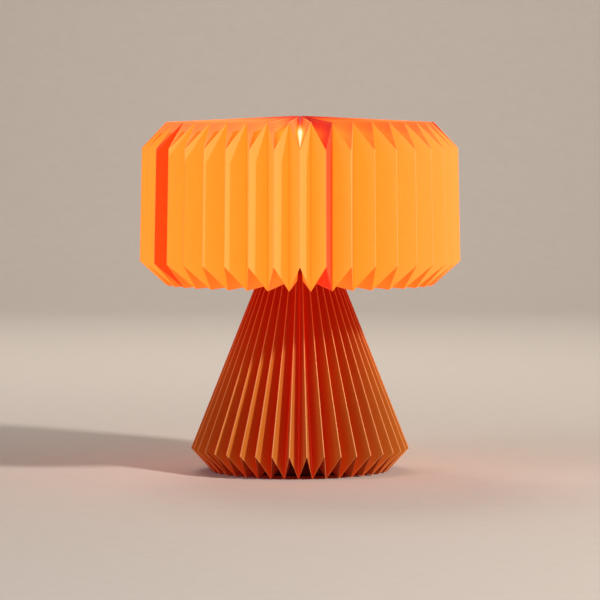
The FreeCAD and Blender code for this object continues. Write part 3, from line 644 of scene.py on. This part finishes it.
turned("bulbGlobe", "bulb_glass", globeSide(bulbGlobe["wall"])[::-1] + globeSide(0.0), clearGlass, "bulb",
       steps=bulbGlobe["steps"])

# Die-cut wool felt, whose edge stands a little uneven: (waves round the edge, height, offset).
feltPad = {"inner": 14.0, "middle": 30.0, "outer": 56.0, "thick": 1.5, "round": (0.25, 0.3, 1.2),
           "trim": (0.35, 0.4, 0.3), "short": 0.1, "waves": ((37, 0.05, 0.0), (91, 0.04, 1.3)), "steps": 240}


def feltEdge(radius, height, turn):
    rough = sum(math.sin(turn * count + offset) * deep for count, deep, offset in feltPad["waves"])
    return radius - feltPad["short"] + rough


innerLow, outerLow, sideTop = feltPad["round"]
innerTrim, outerTrim, topTrim = feltPad["trim"]
felt = turned("feltPad", "foot_felt", [
    (feltPad["inner"], innerLow), (feltPad["inner"] + innerTrim, 0.0), (feltPad["middle"], 0.0),
    (feltPad["outer"] - outerTrim, 0.0), (feltPad["outer"], outerLow), (feltPad["outer"], sideTop),
    (feltPad["outer"] - topTrim, feltPad["thick"]), (feltPad["middle"], feltPad["thick"]),
    (feltPad["inner"] + topTrim, feltPad["thick"]), (feltPad["inner"], sideTop),
], woolFelt, "stand", steps=feltPad["steps"], shape=feltEdge)
print("hardware made")

# Pale matte studio floor, in metres, that sweeps up into the backdrop behind the lamp.
studio = {"near": -7.0, "far": 4.0, "half": 8.0, "bend": 1.2, "bendSteps": 12, "top": 5.0, "floor": -0.0002,
          "light": "#cfc8bf", "dark": "#c9c1b8", "grain": 0.02, "roughness": 0.95}


def studioFloor():
    section = [(studio["near"], studio["floor"]), (studio["far"] - studio["bend"], studio["floor"])]
    for step in range(1, studio["bendSteps"] + 1):
        turn = math.pi / 2 * step / studio["bendSteps"]
        section.append((studio["far"] - studio["bend"] + studio["bend"] * math.sin(turn),
                        studio["floor"] + studio["bend"] * (1 - math.cos(turn))))
    section.append((studio["far"], studio["top"]))
    mesh = bmesh.new()
    for place, corner in enumerate(sheetGrid(mesh, 2, len(section))):
        side = -1 if place < len(section) else 1
        corner.co = (side * studio["half"], *section[place % len(section)])
    for face in mesh.faces:
        face.smooth = True
    data = bpy.data.meshes.new("studioFloor")
    mesh.to_mesh(data)
    mesh.free()
    floor = bpy.data.objects.new("studioFloor", data)
    bpy.context.scene.collection.objects.link(floor)
    # Backdrop paper: pale, warm and quite matte.
    material, tree = newMaterial("backdropPaper")
    place = addNode(tree, "ShaderNodeTexCoord").outputs["Object"]
    grain = addNode(tree, "ShaderNodeTexNoise", {"Vector": place}, {
        "Scale": 1 / studio["grain"], "Detail": 3.0, "Roughness": 0.5}).outputs["Fac"]
    tint = addNode(tree, "ShaderNodeMix", {0: grain}, {
        6: colour(studio["light"]), 7: colour(studio["dark"])}, data_type="RGBA")
    shader = addNode(tree, "ShaderNodeBsdfPrincipled", {"Base Color": tint.outputs[2]},
                     {"Roughness": studio["roughness"]})
    addNode(tree, "ShaderNodeOutputMaterial", {"Surface": shader.outputs[0]})
    data.materials.append(material)


studioFloor()

# A small key from the right that rakes the ridges, soft fills, and one light for the backdrop.
lights = {
    "keyLight": {"place": (2.1, -1.7, 1.9), "aim": (0, 0, 0.15), "size": 0.35, "power": 92,
                 "tint": "#fff6ee"},
    "fillLight": {"place": (-1.9, -1.5, 2.1), "aim": (0, 0, 0.25), "size": 1.4, "power": 18,
                  "tint": "#f8f4ff"},
    "backLight": {"place": (-0.5, 1.7, 2.6), "aim": (0, 0, 0.2), "size": 1.2, "power": 22,
                  "tint": "#fff6ee"},
    "wallLight": {"place": (0, 1.2, 2.4), "aim": (0, 3.9, 0.9), "size": 1.6, "power": 40,
                  "tint": "#fff6ee"},
}
for lightName, lamp in lights.items():
    lightData = bpy.data.lights.new(lightName, "AREA")
    lightData.shape = "DISK"
    lightData.size = lamp["size"]
    lightData.energy = lamp["power"]
    lightData.color = colour(lamp["tint"])[:3]
    light = bpy.data.objects.new(lightName, lightData)
    light.location = lamp["place"]
    light.rotation_euler = (Vector(lamp["aim"]) - Vector(lamp["place"])).to_track_quat("-Z", "Y").to_euler()
    bpy.context.scene.collection.objects.link(light)

room = {"tint": "#e8e4e0", "strength": 0.10}
world = bpy.data.worlds.new("studio")
world.use_nodes = True
bpy.context.scene.world = world
world.node_tree.nodes["Background"].inputs[0].default_value = colour(room["tint"])
world.node_tree.nodes["Background"].inputs[1].default_value = room["strength"]
bpy.context.scene.view_settings.view_transform = "Standard"
print("studio lit")
